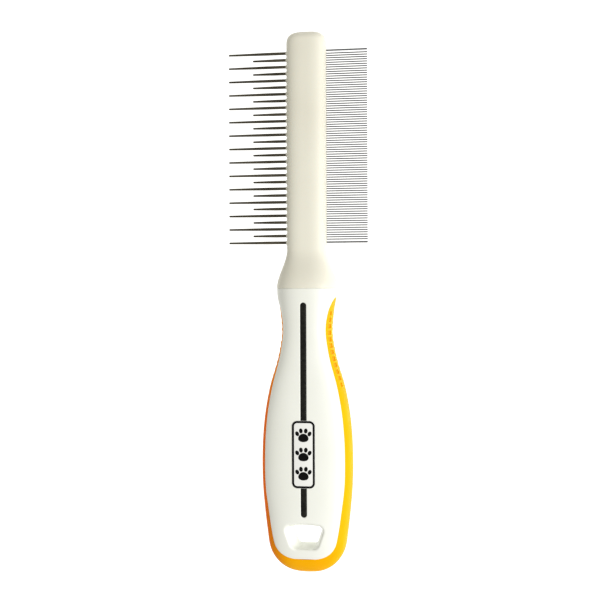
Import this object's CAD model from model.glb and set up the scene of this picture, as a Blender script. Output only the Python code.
"""Double-sided pet comb on a pale floor: cream head, steel pins and teeth, white two-shell handle
with a soft side grip, black stripes and a paw badge.

Forms are drawn in millimetres about the comb's own axis, with y = 0 at the joint between head
and handle, and to_frame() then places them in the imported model's frame.
"""
import math
import bmesh
import bpy
from mathutils import Matrix, Vector


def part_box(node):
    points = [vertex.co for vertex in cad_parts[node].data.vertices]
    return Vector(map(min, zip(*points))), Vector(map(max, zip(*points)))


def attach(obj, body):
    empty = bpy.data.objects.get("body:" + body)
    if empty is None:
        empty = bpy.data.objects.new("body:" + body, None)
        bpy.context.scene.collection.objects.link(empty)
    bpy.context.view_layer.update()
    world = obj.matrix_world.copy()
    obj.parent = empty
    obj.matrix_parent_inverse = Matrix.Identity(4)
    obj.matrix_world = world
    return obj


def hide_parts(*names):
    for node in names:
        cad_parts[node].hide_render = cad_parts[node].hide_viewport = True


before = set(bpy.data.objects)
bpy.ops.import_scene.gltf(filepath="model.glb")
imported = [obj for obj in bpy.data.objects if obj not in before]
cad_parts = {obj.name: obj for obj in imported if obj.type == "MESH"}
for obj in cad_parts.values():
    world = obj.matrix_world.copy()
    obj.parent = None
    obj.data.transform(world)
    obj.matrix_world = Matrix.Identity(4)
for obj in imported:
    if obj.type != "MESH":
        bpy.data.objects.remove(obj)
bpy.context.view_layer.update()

MM = 0.001
BODY = "root"

# ---- driving sizes, in millimetres ----

HEAD_LEN, SPINE_W, SPINE_T, FLARE_LEN = 99.5, 15.5, 9.8, 15.0
HANDLE_LEN, BAND_H, FACE_PROUD = 109.8, 6.6, 0.3
STRIPE_W, BADGE_W, BADGE_LEN, BADGE_R = 2.3, 9.0, 25.8, 2.1
COARSE_COUNT, COARSE_Y0, COARSE_PITCH = 29, 17.8, 2.63
CROWN, LAND_CUT = 9.3, 0.06

# Handle stations from the joint to the end: y, half width, half thickness, superellipse exponent
HANDLE_FORM = [
    (0, 11.7, 9.3, 2.5), (-3.6, 11.4, 9.3, 2.6), (-9.2, 10.45, 9.3, 2.8), (-16.2, 9.9, 9.3, 2.9),
    (-20.8, 10.3, 9.3, 2.95), (-27.8, 11.75, 9.3, 3), (-37.1, 14.5, 9.3, 3.1), (-46.4, 16.35, 9.3, 3.2),
    (-55.7, 17.4, 9.3, 3.25), (-66, 17.8, 9.3, 3.25), (-76, 17.6, 9.3, 3.2), (-85, 16.9, 9.1, 3),
    (-93, 16, 8.7, 3), (-101, 14.9, 8.1, 3), (-HANDLE_LEN, 13.2, 7.5, 3)]
WIDTH_CAP, WIDTH_CAP_POWER, THICK_CAP = 12.9, 2.55, 12.8
BAND_TOP, BAND_FULL, BAND_UNDER, TONGUE_POWER = -3.4, -17.0, 1.3, 2.5
FACE_END = -103.8

HOLE_Y, HOLE_HALF, HOLE_R = (-99.9, -90.3), (5.5, 7.1), (2.7, 2.1)
HOLE_CROWN = 0.4
STRIPE_Y = (-87.5, -5.5)
BADGE_Y = -50.55 - BADGE_LEN / 2
DASH_Y, DASH_COUNT, DASH_Z, DASH_SIZE, DASH_DEPTH = (-9.6, -37.0), 12, 3.5, (1.5, 3.2), 0.4

shell_low, shell_high = (Vector(v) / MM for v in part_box("handle_back_shell"))
ORIGIN = Vector(((shell_low.x + shell_high.x) / 2, shell_high.y, shell_low.z + CROWN - LAND_CUT))


def to_frame(p):
    return (Vector(p) + ORIGIN) * MM


# ---- the comb's curves ----

def curve(table, y, c):
    """Cubic curve through column c of a table whose first column falls from row to row."""
    i = 1
    while i < len(table) - 1 and y < table[i][0]:
        i += 1

    def slope(k):
        a, b = table[max(k - 1, 0)], table[min(k + 1, len(table) - 1)]
        return (b[c] - a[c]) / (b[0] - a[0])

    a, b = table[i - 1], table[i]
    d = b[0] - a[0]
    t = (y - a[0]) / d
    return (a[c] * (1 + 2 * t) * (1 - t) ** 2 + b[c] * t * t * (3 - 2 * t)
            + d * (slope(i - 1) * t * (1 - t) ** 2 - slope(i) * t * t * (1 - t)))


def cap(y, tip, length, power):
    """Rounds a size off over the last length before the end at tip."""
    u = min(1.0, max(0.0, 1 - abs(y - tip) / length))
    return max(0.0, 1 - u ** power) ** (1 / power)


def handle_w(y):
    return curve(HANDLE_FORM, y, 1) * cap(y, -HANDLE_LEN, WIDTH_CAP, WIDTH_CAP_POWER)


def handle_t(y):
    return curve(HANDLE_FORM, y, 2) * cap(y, -HANDLE_LEN, THICK_CAP, 2)


def handle_n(y):
    return curve(HANDLE_FORM, y, 3)


def flare(y):
    t = min(1.0, max(0.0, 1 - y / FLARE_LEN))
    return t * t * (3 - 2 * t)


def head_w(y):
    return (SPINE_W / 2 + (handle_w(0) - SPINE_W / 2) * flare(y)) * cap(y, HEAD_LEN, 5.6, 3)


def head_t(y):
    return (SPINE_T / 2 + (CROWN - LAND_CUT - SPINE_T / 2) * flare(y)) * cap(y, HEAD_LEN, 3.2, 2)


def head_n(y):
    return 2.9 + (handle_n(0) - 2.9) * flare(y)


def band_at(y):
    if y <= BAND_FULL:
        return BAND_H
    u = min(1.0, (y - BAND_FULL) / (BAND_TOP - BAND_FULL))
    return BAND_H * (1 - u ** TONGUE_POWER) ** (1 / TONGUE_POWER)


def side_x(y, z, less=0.0):
    """Half width of the handle at height z above the mid-plane."""
    q = abs(z) / (handle_t(y) - less)
    n = handle_n(y)
    return 0.0 if q >= 1 else (handle_w(y) - less) * (1 - q ** n) ** (1 / n)


def face_z(x, y, less=0.0):
    """Height of the front face above the mid-plane."""
    q = min(0.999, abs(x) / (handle_w(y) - less))
    n = handle_n(y)
    return (handle_t(y) - less) * (1 - q ** n) ** (1 / n)


def core_w(y):
    """Half width of the white shells' wall beside the band."""
    under = BAND_UNDER if band_at(y) > 0 else 0.0
    return max(0.2, min(side_x(y, band_at(y)), handle_w(y) - under))


def superellipse(w, t, n, a):
    c, s = math.cos(a), math.sin(a)
    return (w * math.copysign(abs(c) ** (2 / n), c), t * math.copysign(abs(s) ** (2 / n), s))


def even(ring, count, closed=True):
    """The same outline with its points spread evenly along it."""
    pts = [Vector(p) for p in ring] + ([Vector(ring[0])] if closed else [])
    run = [0.0]
    for a, b in zip(pts, pts[1:]):
        run.append(run[-1] + (b - a).length)
    out, k = [], 0
    for i in range(count):
        d = run[-1] * i / (count if closed else count - 1)
        while k < len(run) - 2 and run[k + 1] < d:
            k += 1
        span = run[k + 1] - run[k]
        out.append(pts[k].lerp(pts[k + 1], (d - run[k]) / span if span else 0))
    return out


def steps(a, b, n):
    return [a + (b - a) * i / n for i in range(n + 1)]


# Station beyond which the handle's end is rounded off
ROUND_FROM = -96


def crowded(tip, count, spread):
    """Stations that crowd together from ROUND_FROM towards the handle's tip."""
    return [ROUND_FROM + (tip - ROUND_FROM) * math.sin(math.pi / 2 * i / spread)
            for i in range(1, count + 1)]


# ---- mesh helpers ----

def finish_mesh(name, bm, sharp=None):
    bmesh.ops.remove_doubles(bm, verts=bm.verts, dist=1e-7)
    bmesh.ops.recalc_face_normals(bm, faces=bm.faces)
    mesh = bpy.data.meshes.new(name)
    bm.to_mesh(mesh)
    bm.free()
    mesh.polygons.foreach_set("use_smooth", [True] * len(mesh.polygons))
    if sharp:
        mesh.set_sharp_from_angle(angle=math.radians(sharp))
    obj = bpy.data.objects.new(name, mesh)
    bpy.context.scene.collection.objects.link(obj)
    return obj


def skin(name, rings, sharp=None):
    """Closed skin over rings of equally many points, capped by a flat face at each end."""
    bm = bmesh.new()
    rows = [[bm.verts.new(to_frame(p)) for p in ring] for ring in rings]
    for a, b in zip(rows, rows[1:]):
        for j in range(len(a)):
            k = (j + 1) % len(a)
            bm.faces.new((a[j], a[k], b[k], b[j]))
    bm.faces.new(rows[0][::-1])
    bm.faces.new(rows[-1])
    return finish_mesh(name, bm, sharp)


def carve(obj, cutter, operation="DIFFERENCE", sharp=30):
    """Boolean with its result applied; the cutter's materials come with its faces."""
    mod = obj.modifiers.new("carve", "BOOLEAN")
    mod.object, mod.operation, mod.solver = cutter, operation, "EXACT"
    mod.material_mode = "TRANSFER"
    graph = bpy.context.evaluated_depsgraph_get()
    mesh = bpy.data.meshes.new_from_object(obj.evaluated_get(graph))
    obj.modifiers.clear()
    old = obj.data
    obj.data = mesh
    bpy.data.meshes.remove(old)
    mesh.polygons.foreach_set("use_smooth", [True] * len(mesh.polygons))
    mesh.set_sharp_from_angle(angle=math.radians(sharp))
    bpy.data.objects.remove(cutter)


def put(obj, slot, material, *nodes):
    """Rides the piece on the comb, gives it its slot and material and hides the CAD it stands for."""
    if obj.data.materials:
        obj.data.materials[0] = material
    else:
        obj.data.materials.append(material)
    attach(obj, BODY)
    if nodes:
        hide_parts(*nodes)
    return obj


# ---- materials ----

def srgb(r, g, b):
    def lin(v):
        v /= 255
        return v / 12.92 if v <= 0.04045 else ((v + 0.055) / 1.055) ** 2.4
    return (lin(r), lin(g), lin(b), 1.0)


class Nodes:
    """Short hand for a material's node tree."""

    def __init__(self, name, **sockets):
        self.mat = bpy.data.materials.new(name)
        self.mat.use_nodes = True
        self.tree = self.mat.node_tree
        self.shader = next(n for n in self.tree.nodes if n.type == "BSDF_PRINCIPLED")
        for key, value in sockets.items():
            self.shader.inputs[key.replace("_", " ")].default_value = value
        self.coords = self.tree.nodes.new("ShaderNodeTexCoord").outputs["Object"]

    def node(self, kind, links=None, **values):
        n = self.tree.nodes.new(kind)
        for key, value in values.items():
            if hasattr(n, key):
                setattr(n, key, value)
            else:
                n.inputs[key.replace("_", " ")].default_value = value
        for key, source in (links or {}).items():
            self.tree.links.new(source, n.inputs[key])
        return n

    def stretched(self, scale):
        return self.node("ShaderNodeMapping", {"Vector": self.coords}, Scale=scale).outputs[0]

    def noise(self, scale, detail=3.0, rough=0.5, stretch=(1, 1, 1)):
        where = self.stretched(stretch)
        return self.node("ShaderNodeTexNoise", {"Vector": where}, Scale=scale, Detail=detail,
                         Roughness=rough).outputs["Fac"]

    def ramp(self, fac, *stops):
        n = self.node("ShaderNodeValToRGB", {"Fac": fac})
        line = n.color_ramp
        for i, (at, colour) in enumerate(stops):
            stop = line.elements[i] if i < 2 else line.elements.new(at)
            stop.position, stop.color = at, colour
        return n.outputs["Color"]

    def spread(self, fac, low_value, high_value):
        n = self.node("ShaderNodeMapRange", {"Value": fac})
        n.inputs["From Min"].default_value = 0.3
        n.inputs["From Max"].default_value = 0.7
        n.inputs["To Min"].default_value = low_value
        n.inputs["To Max"].default_value = high_value
        return n.outputs["Result"]

    def to(self, socket, source):
        self.tree.links.new(source, self.shader.inputs[socket])

    def bump(self, height, strength, distance, before=None):
        links = {"Height": height}
        if before:
            links["Normal"] = before
        n = self.node("ShaderNodeBump", links, Strength=strength, Distance=distance)
        self.to("Normal", n.outputs["Normal"])
        return n.outputs["Normal"]


def moulded(name, dark, light, roughness, grain, **sockets):
    """Moulded plastic: faint flow variation, fine spark texture, rubbed patches."""
    n = Nodes(name, **sockets)
    n.to("Base Color", n.ramp(n.noise(28, 4), (0.3, dark), (0.7, light)))
    n.to("Roughness", n.spread(n.noise(60, 5, 0.6), *roughness))
    wide = n.bump(n.noise(90, 2), 0.08, 0.0004)
    n.bump(n.noise(4200, 3, 0.6), grain, 0.00006, wide)
    return n.mat


def head_plastic():
    return moulded("cream_head_plastic", srgb(233, 229, 213), srgb(240, 237, 222), (0.45, 0.55), 0.35,
                   Subsurface_Weight=0.04, Subsurface_Radius=(0.002, 0.0016, 0.0012))


def handle_plastic():
    return moulded("white_handle_plastic", srgb(243, 244, 235), srgb(249, 250, 243), (0.3, 0.4), 0.12,
                   Subsurface_Weight=0.04, Subsurface_Radius=(0.002, 0.002, 0.0017), Coat_Weight=0.12,
                   Coat_Roughness=0.25)


def grip_rubber(name, deep, dark, light):
    n = Nodes(name, Specular_IOR_Level=0.06, Subsurface_Weight=0.03,
              Subsurface_Radius=(0.002, 0.001, 0.0003))
    sides = n.node("ShaderNodeSeparateXYZ", {"Vector": n.coords}).outputs["X"]
    turn = n.node("ShaderNodeMapRange", {"Value": sides})
    turn.inputs["From Min"].default_value = -0.012
    turn.inputs["From Max"].default_value = -0.001
    mottled = n.node("ShaderNodeMath", {0: n.noise(45, 4), 1: turn.outputs["Result"]}, operation="MULTIPLY")
    n.to("Base Color", n.ramp(mottled.outputs[0], (0.0, deep), (0.35, dark), (0.7, light)))
    n.to("Roughness", n.spread(n.noise(150, 4, 0.6), 0.5, 0.64))
    wide = n.bump(n.noise(250, 2), 0.1, 0.0003)
    n.bump(n.noise(5200, 4, 0.7), 0.5, 0.00006, wide)
    return n.mat


def stripe_rubber():
    n = Nodes("black_stripe_rubber", Specular_IOR_Level=0.16)
    n.to("Base Color", n.ramp(n.noise(900, 4, 0.7), (0.35, srgb(8, 8, 6)), (0.7, srgb(36, 35, 29))))
    n.to("Roughness", n.spread(n.noise(700, 4), 0.42, 0.6))
    n.bump(n.noise(1500, 3, 0.6), 0.7, 0.00012)
    return n.mat


def badge_plastic():
    return moulded("badge_white_plastic", srgb(243, 244, 240), srgb(249, 249, 246), (0.18, 0.26), 0.05,
                   Coat_Weight=0.3, Coat_Roughness=0.1)


def badge_ink():
    n = Nodes("badge_black_ink", Specular_IOR_Level=0.12)
    n.to("Base Color", n.ramp(n.noise(800, 3), (0.3, srgb(4, 4, 5)), (0.7, srgb(12, 12, 13))))
    n.to("Roughness", n.spread(n.noise(1200, 3), 0.28, 0.42))
    n.bump(n.noise(2600, 2), 0.15, 0.00004)
    return n.mat


def steel(name, dark, light, roughness):
    """Drawn wire: marks run along X, the way the pins point, with a little tarnish."""
    n = Nodes(name, Metallic=1.0)
    n.to("Base Color", n.ramp(n.noise(240, 5, 0.6, (0.35, 1, 1)), (0.3, dark), (0.7, light)))
    n.to("Roughness", n.spread(n.noise(2500, 3, 0.6, (0.06, 1, 1)), *roughness))
    n.bump(n.noise(6000, 2, 0.5, (0.03, 1, 1)), 0.25, 0.00003)
    return n.mat


# ---- head ----

def head_rings():
    edge = [(0.0, 0.3), (0.03, 0.18), (0.1, 0.08), (0.2, 0.02), (0.32, 0.0)]
    ys = [y for y, _ in edge] + steps(0.7, FLARE_LEN, 30) + steps(FLARE_LEN + 1, HEAD_LEN - 6, 60)
    ys += [HEAD_LEN - 5.6 + 5.6 * math.sin(math.pi / 2 * i / 25.3) for i in range(25)]
    less = dict(edge)
    for y in ys:
        cut = less.get(y, 0.0)
        ring = [superellipse(head_w(y) - cut, head_t(y) - cut, head_n(y), math.tau * i / 400)
                for i in range(400)]
        yield [(p[0], y, p[1]) for p in even(ring, 144)]


def root_bosses(bm):
    """A small flared collar round each coarse pin where it leaves the spine."""
    profile = [(-0.6, 1.22), (0.0, 1.08), (0.1, 0.96), (0.22, 0.85), (0.35, 0.76), (0.43, 0.7), (0.45, 0.6)]
    sides = 28
    for i in range(COARSE_COUNT):
        y = COARSE_Y0 + i * COARSE_PITCH
        rows = [[bm.verts.new(to_frame((-SPINE_W / 2 - h, y + r * math.cos(a), r * math.sin(a))))
                 for a in (math.tau * k / sides for k in range(sides))] for h, r in profile]
        for a, b in zip(rows, rows[1:]):
            for k in range(sides):
                bm.faces.new((a[k], a[(k + 1) % sides], b[(k + 1) % sides], b[k]))
        bm.faces.new(rows[0])
        bm.faces.new(rows[-1][::-1])


def make_head(material):
    head = skin("comb_head_body", list(head_rings()), 40)
    put(head, "head_plastic", material, "comb_head")
    bm = bmesh.new()
    root_bosses(bm)
    collars = finish_mesh("pin_root_collars", bm, 50)
    put(collars, "head_plastic", material)


# ---- handle shells ----

def hole_outline(grow=0.0, count=96):
    """Rounded trapezium of the hanging hole, wider towards the head, with a slightly arched top."""
    (y0, y1), (x0, x1) = HOLE_Y, HOLE_HALF
    pts = []
    r0, r1 = HOLE_R
    centres = [(x0 - r0, y0 + r0, r0, -90, -18), (x1 - r1, y1 - r1 - HOLE_CROWN, r1, -18, 84)]
    for cx, cy, r, a0, a1 in centres:
        for a in steps(math.radians(a0), math.radians(a1), 12):
            pts.append(Vector((cx + (r + grow) * math.cos(a), cy + (r + grow) * math.sin(a))))
    x, y = pts[-1]
    rise = y1 + grow - y
    top = [Vector((x * (1 - k / 8), y + rise * math.sin(math.pi / 2 * k / 8))) for k in range(1, 9)]
    half = pts + top
    ring = half + [Vector((-p.x, p.y)) for p in reversed(half[:-1])]
    return even(ring, count)


LIP_R, HOLE_DRAFT = 1.15, 1.4


def hole_cutter(side):
    """Cuts the hole from one face to just past the mid-plane, with a rounded lip and drafted walls."""
    levels = [(-1.2, 0.0)] + [(LIP_R * (1 - math.cos(a)), math.sin(a)) for a in steps(0, math.pi / 2, 10)]
    rings = []
    for d, lean in levels:
        grow = LIP_R * (1 - lean)
        rings.append([(p.x, p.y, side * (face_z(p.x, p.y) - d)) for p in hole_outline(grow)])
    for z in (4.5, 2.5, 1.0, 0.0, -0.4):
        rings.append([(p.x, p.y, side * z) for p in hole_outline(HOLE_DRAFT * (z / CROWN - 1))])
    return skin("hole_cutter", rings if side < 0 else rings[::-1])


def capsule(y0, y1, half, count=14):
    """Outline of a stripe: straight sides and half-round ends."""
    top = [(half * math.cos(a), y1 - half + half * math.sin(a)) for a in steps(0, math.pi, count)]
    bottom = [(half * math.cos(a), y0 + half + half * math.sin(a)) for a in steps(math.pi, math.tau, count)]
    long_side = steps(y1 - half, y0 + half, 40)[1:-1]
    return ([Vector(p) for p in top] + [Vector((-half, y)) for y in long_side]
            + [Vector(p) for p in bottom] + [Vector((half, y)) for y in reversed(long_side)])


def rounded_box(w, h, r, cx=0.0, cy=0.0, count=10):
    pts = []
    for sx, sy, a0 in ((1, 1, 0), (-1, 1, 90), (-1, -1, 180), (1, -1, 270)):
        for a in steps(math.radians(a0), math.radians(a0 + 90), count):
            pts.append(Vector((cx + sx * (w / 2 - r) + r * math.cos(a),
                               cy + sy * (h / 2 - r) + r * math.sin(a))))
    return pts


# Pockets for the inlays; a stripe's groove runs on under the badge by the tuck
GROOVE_DEPTH, GROOVE_LIP, BADGE_LIP, GROOVE_TUCK = 0.75, 0.22, 0.06, 1.5


def badge_outline(inset):
    return rounded_box(BADGE_W - 2 * inset, BADGE_LEN - 2 * inset, BADGE_R - inset, 0, BADGE_Y)


def groove_cutter(outline, side, lip=GROOVE_LIP):
    """Pocket for an inlay, with a soft white bevel round its mouth."""
    levels = [(-0.9, lip), (0.0, lip), (0.06, lip * 0.5), (0.16, lip * 0.2), (0.32, 0.05),
              (GROOVE_DEPTH, 0.03)]
    rings = []
    for d, grow in levels:
        rings.append([(p.x, p.y, side * (face_z(p.x, p.y) - d)) for p in outline(grow)])
    return skin("groove_cutter", rings if side < 0 else rings[::-1])


EDGE_R = 0.55


def face_ring(y, cut):
    """One shell's section: wall beside the band, rounded shoulder and crowned face.

    Within EDGE_R of the face's two ends its points move inwards, onto a quarter round.
    """
    w, t, n = handle_w(y) - cut, handle_t(y) - cut, handle_n(y)
    b = max(0.05, min(band_at(y), t * 0.985))
    a0 = math.asin(min(0.9999, (b / t) ** (n / 2)))
    arc = [superellipse(w, t, n, a) for a in steps(a0, math.pi - a0, 500)]
    arc = even(arc, 160, closed=False)
    foot = max(0.15, core_w(y) - cut - (EDGE_R * 0.6 if b > 0.3 else 0.0))
    r = EDGE_R if b > 0.6 else EDGE_R * max(0.0, (b - 0.05) / 0.55)
    pts = []
    ends = arc[0], arc[-1]
    for p in arc:
        s = min((p - ends[0]).length, (p - ends[1]).length)
        if s < r:
            inward = Vector((-p.x / w / w * t, -p.y / t)).normalized()
            p = p + inward * (r - math.sqrt(max(0.0, r * r - (r - s) ** 2)))
        pts.append(p)
    wall_z = max(0.02, b - 1.2 * r - 0.6) if b > 0.8 else b * 0.4
    left = [(foot, 0.0), (foot, wall_z)]
    right = [(-foot, wall_z), (-foot, 0.0)]
    return [(x, y, z) for x, z in left + [(p.x, max(p.y, wall_z + 0.01)) for p in pts] + right]


def shell_ys():
    edge = [0.0, -0.03, -0.1, -0.2, -0.32]
    ys = edge + steps(-0.7, BAND_TOP, 5) + [BAND_TOP - d for d in (0.05, 0.15, 0.3, 0.5, 0.8, 1.2, 1.7)]
    ys += steps(BAND_TOP - 2.3, BAND_FULL, 22)[1:] + steps(BAND_FULL - 1, ROUND_FROM, 80)
    return ys + crowded(FACE_END, 20, 20.4)


def make_shell(name, side, material, node):
    less = {0.0: 0.3, -0.03: 0.18, -0.1: 0.08, -0.2: 0.02}
    rings = []
    for y in shell_ys():
        ring = face_ring(y, less.get(y, 0.0))
        rings.append([(x, v, max(side * z, LAND_CUT - CROWN)) for x, v, z in ring])
    shell = skin(name, rings, 35)
    carve(shell, hole_cutter(side))
    low, high = STRIPE_Y
    half = STRIPE_W / 2
    if side > 0:
        badge_top, badge_low = BADGE_Y + BADGE_LEN / 2, BADGE_Y - BADGE_LEN / 2
        carve(shell, groove_cutter(lambda g: capsule(badge_top - GROOVE_TUCK, high + g, half + g), side))
        carve(shell, groove_cutter(lambda g: capsule(low - g, badge_low + GROOVE_TUCK, half + g), side))
        carve(shell, groove_cutter(lambda g: badge_outline(-g), side, lip=BADGE_LIP))
    else:
        carve(shell, groove_cutter(lambda g: capsule(low - g, high + g, half + g), side))
    return put(shell, "handle_plastic", material, node)


# ---- soft grip ----

def whole_form(less):
    ys = [BAND_TOP + 2.5] + steps(BAND_TOP + 0.5, ROUND_FROM, 130) + crowded(-HANDLE_LEN, 28, 29.2)
    rings = []
    for y in ys:
        ring = [superellipse(max(0.5, handle_w(y) - less), max(0.5, handle_t(y) - less), handle_n(y),
                             math.tau * i / 480) for i in range(480)]
        rings.append([(p[0], y, p[1]) for p in even(ring, 168)])
    return skin("soft_grip_band", rings, 35)


def band_block():
    """The band's side view, run across the whole width."""
    run = BAND_FULL - BAND_TOP
    tongue = [BAND_TOP + run * (1 - math.cos(math.pi / 2 * i / 24)) for i in range(1, 25)]
    upper = [(BAND_TOP, 0.02)] + [(y, band_at(y)) for y in tongue] + [(-HANDLE_LEN - 5, BAND_H)]
    outline = upper + [(y, -z) for y, z in reversed(upper)]
    return skin("band_block", [[(x, y, z) for y, z in outline] for x in (-30, 30)])


# The band's inner wall runs into the white shells by the tuck, and past their ends by the clearance
CORE_TUCK, CORE_CLEAR = 0.3, 0.25


def core_block():
    """The space inside the band that the white shells fill."""
    ys = [2.0] + steps(-0.5, ROUND_FROM, 64) + crowded(FACE_END - CORE_CLEAR, 16, 16.2)
    side = [(max(0.05, core_w(min(y, 0)) - CORE_TUCK), y) for y in ys]
    outline = side + [(-x, y) for x, y in reversed(side)]
    return skin("core_block", [[(x, y, z) for x, y in outline] for z in (-20, 20)])


def dash_cutter(material):
    """All the small rounded recesses, in one mesh, on both sides and towards both faces."""
    bm = bmesh.new()
    for i in range(DASH_COUNT):
        y = DASH_Y[0] + (DASH_Y[1] - DASH_Y[0]) * i / (DASH_COUNT - 1)
        fade = min(1.0, 0.55 + 0.2 * i, 0.55 + 0.2 * (DASH_COUNT - 1 - i))
        long_w, short_w = DASH_SIZE[1] * fade, DASH_SIZE[0] * (0.8 + 0.2 * fade)
        for mx in (1, -1):
            for mz in (1, -1):
                rows = []
                for depth, grow in ((DASH_DEPTH, 0.0), (0.12, 0.02), (0.0, 0.08), (-1.0, 0.2)):
                    outline = rounded_box(short_w + 2 * grow, long_w + 2 * grow, 0.3 + grow, y, DASH_Z, 5)
                    rows.append([bm.verts.new(to_frame((
                        mx * (side_x(p.x, p.y, FACE_PROUD) - depth), p.x, mz * p.y))) for p in outline])
                for a, b in zip(rows, rows[1:]):
                    for k in range(len(a)):
                        m = (k + 1) % len(a)
                        bm.faces.new((a[k], a[m], b[m], b[k]))
                bm.faces.new(rows[0])
                bm.faces.new(rows[-1][::-1])
    cutter = finish_mesh("dash_cutter", bm)
    cutter.data.materials.append(material)
    return cutter


def make_grip(material, recess):
    grip = whole_form(FACE_PROUD)
    grip.data.materials.append(material)
    carve(grip, band_block(), operation="INTERSECT")
    carve(grip, core_block())
    carve(grip, dash_cutter(recess), sharp=38)
    return put(grip, "grip_rubber", material, "soft_grip")


# ---- stripes and badge ----

def inlay(name, outline, side, height):
    """Raised inlay from an outline function of inset; height(p) is its sunk depth at the edge."""
    rings = [[(p.x, p.y, side * (face_z(p.x, p.y) - 0.7)) for p in outline(0.0)]]
    for inset, sunk in height:
        rings.append([(p.x, p.y, max(LAND_CUT - CROWN, side * (face_z(p.x, p.y) - sunk)))
                      for p in outline(inset)])
    return skin(name, rings if side < 0 else rings[::-1], 60)


STRIPE_CROWN = [(0.0, 0.42), (0.02, 0.3), (0.08, 0.2), (0.2, 0.12), (0.4, 0.07), (0.7, 0.05)]


def make_stripes(material):
    badge_top, badge_low = BADGE_Y + BADGE_LEN / 2, BADGE_Y - BADGE_LEN / 2
    spans = [("stripe_above_badge", badge_top - 0.6, STRIPE_Y[1], 1, "front_stripe_upper"),
             ("stripe_below_badge", STRIPE_Y[0], badge_low + 0.6, 1, "front_stripe_lower"),
             ("stripe_on_back", STRIPE_Y[0], STRIPE_Y[1], -1, "back_stripe")]
    for name, y0, y1, side, node in spans:
        obj = inlay(name, lambda g: capsule(y0 + g, y1 - g, STRIPE_W / 2 - g), side, STRIPE_CROWN)
        put(obj, "stripe_rubber", material, node)


PLATE_TOP = -0.08
PAW_PITCH = 7.3
BADGE_INSET, BADGE_LINE = 0.08, 0.8


def make_badge(plate_material, ink):
    plate = inlay("badge_plate_body", badge_outline, 1,
                  [(0.0, 0.02), (0.02, -0.06), (0.05, -0.075), (0.08, PLATE_TOP)])
    put(plate, "badge_plastic", plate_material, "badge_plate")
    bm = bmesh.new()
    top = CROWN - PLATE_TOP
    print_high = 0.035

    def raised(outer, inner=None):
        """A thin raised print with the given outline, and a hole when inner is given."""
        loops = [outer] + ([inner] if inner else [])
        rows = []
        for loop in loops:
            foot = [bm.verts.new(to_frame((p.x, p.y, top - 0.1))) for p in loop]
            head = [bm.verts.new(to_frame((p.x, p.y, top + print_high))) for p in loop]
            for k in range(len(loop)):
                m = (k + 1) % len(loop)
                bm.faces.new((foot[k], foot[m], head[m], head[k]))
            rows.append((foot, head))
        if inner:
            for level in (0, 1):
                a, b = rows[0][level], rows[1][level]
                for k in range(len(a)):
                    m = (k + 1) % len(a)
                    bm.faces.new((a[k], a[m], b[m], b[k]))
        else:
            bm.faces.new(rows[0][0])
            bm.faces.new(rows[0][1])

    raised(badge_outline(BADGE_INSET), badge_outline(BADGE_INSET + BADGE_LINE))
    for i in (-1, 0, 1):
        for outline in paw(BADGE_Y + i * PAW_PITCH):
            raised(outline)
    mark = finish_mesh("badge_paw_print", bm, 40)
    put(mark, "badge_ink", ink, "badge_mark")


def paw(cy):
    """Outlines of a generic paw print: one rounded main pad and four oval toes."""
    main = []
    for a in steps(0, math.tau, 48)[:-1]:
        x, y = 2.0 * math.cos(a), 1.6 * math.sin(a)
        y -= 0.25 * (abs(x) / 2.0) ** 2
        main.append(Vector((x, cy - 0.9 + y)))
    yield main
    for cx, ty, lean in ((-0.95, 1.75, 0.12), (0.95, 1.75, -0.12), (-2.4, 0.65, 0.45), (2.4, 0.65, -0.45)):
        yield [Vector((cx + 0.7 * math.cos(a) * math.cos(lean) - 0.95 * math.sin(a) * math.sin(lean),
                       cy + ty + 0.7 * math.cos(a) * math.sin(lean) + 0.95 * math.sin(a) * math.cos(lean)))
               for a in steps(0, math.tau, 28)[:-1]]


# ---- stage ----

def area_light(name, at, target, size, power, colour=(1, 1, 1)):
    data = bpy.data.lights.new(name, "AREA")
    data.shape, data.size, data.energy, data.color = "DISK", size, power, colour
    obj = bpy.data.objects.new(name, data)
    bpy.context.scene.collection.objects.link(obj)
    obj.location = at
    obj.rotation_euler = (Vector(target) - Vector(at)).to_track_quat("-Z", "Y").to_euler()


# The floor lies well below the comb, which casts no shadow in view
FLOOR_Z = -0.14


def make_floor():
    bm = bmesh.new()
    bmesh.ops.create_grid(bm, x_segments=4, y_segments=4, size=3.0)
    bmesh.ops.translate(bm, verts=bm.verts, vec=(0, 0, FLOOR_Z))
    floor = finish_mesh("floor", bm)
    n = Nodes("pale_floor", Roughness=0.9, Specular_IOR_Level=0.1,
              Emission_Color=(1, 1, 1, 1), Emission_Strength=0.45)
    pale, paler = (0.97, 0.97, 0.97, 1), (0.985, 0.985, 0.985, 1)
    n.to("Base Color", n.ramp(n.noise(8, 2), (0.3, pale), (0.7, paler)))
    floor.data.materials.append(n.mat)


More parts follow.
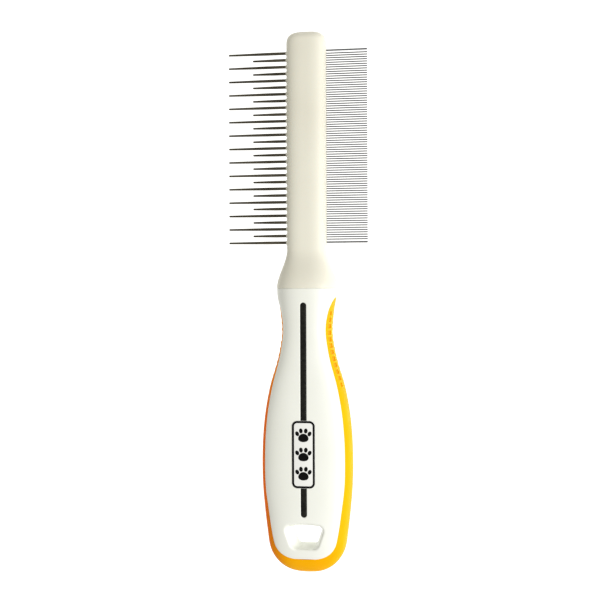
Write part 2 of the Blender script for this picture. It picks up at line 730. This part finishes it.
CAMERA_TURN, CAMERA_ROLL = math.radians(10.8), math.radians(-0.2)
CAMERA_DISTANCE, LENS, SENSOR = 0.505, 78.0, 36.0
AIM = (-2.9, -4.5, 0.0)


def make_camera():
    data = bpy.data.cameras.new("camera")
    data.lens, data.sensor_width = LENS, SENSOR
    camera = bpy.data.objects.new("camera", data)
    bpy.context.scene.collection.objects.link(camera)
    back = Vector((math.sin(CAMERA_TURN), 0, math.cos(CAMERA_TURN)))
    right = Vector((0, 1, 0)).cross(back).normalized()
    up = back.cross(right)
    facing = Matrix((right, up, back)).transposed() @ Matrix.Rotation(CAMERA_ROLL, 3, "Z")
    camera.location = to_frame(AIM) + back * CAMERA_DISTANCE
    camera.rotation_euler = facing.to_euler()
    bpy.context.scene.camera = camera


def make_lights():
    world = bpy.data.worlds.new("pale_world")
    bpy.context.scene.world = world
    world.use_nodes = True
    sky = world.node_tree.nodes["Background"]
    sky.inputs["Color"].default_value = (1, 0.99, 0.93, 1)
    sky.inputs["Strength"].default_value = 0.5
    area_light("key_from_the_right", (0.6, -0.12, 0.5), (0, 0, 0), 0.45, 4.8)
    bpy.context.scene.view_settings.view_transform = "Standard"


def dress_steel():
    pins = steel("dark_pin_steel", srgb(74, 70, 59), srgb(110, 104, 90), (0.3, 0.42))
    teeth = steel("fine_tooth_steel", srgb(104, 106, 108), srgb(142, 144, 148), (0.3, 0.42))
    for name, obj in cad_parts.items():
        if "pin_" in name:
            material = pins
        elif "tooth" in name or "teeth" in name:
            material = teeth
        else:
            continue
        for slot in obj.material_slots:
            slot.material = material


white = handle_plastic()
cream = head_plastic()
black = stripe_rubber()
yellow = grip_rubber("yellow_grip_rubber", srgb(255, 118, 0), srgb(255, 174, 0), srgb(255, 184, 0))
recess = grip_rubber("grip_recess_rubber", srgb(236, 124, 0), srgb(244, 154, 0), srgb(249, 164, 0))

make_camera()
make_lights()
make_floor()
dress_steel()
make_head(cream)
make_shell("front_shell_body", 1, white, "handle_front_shell")
make_shell("back_shell_body", -1, white, "handle_back_shell")
make_grip(yellow, recess)
make_stripes(black)
make_badge(badge_plastic(), badge_ink())
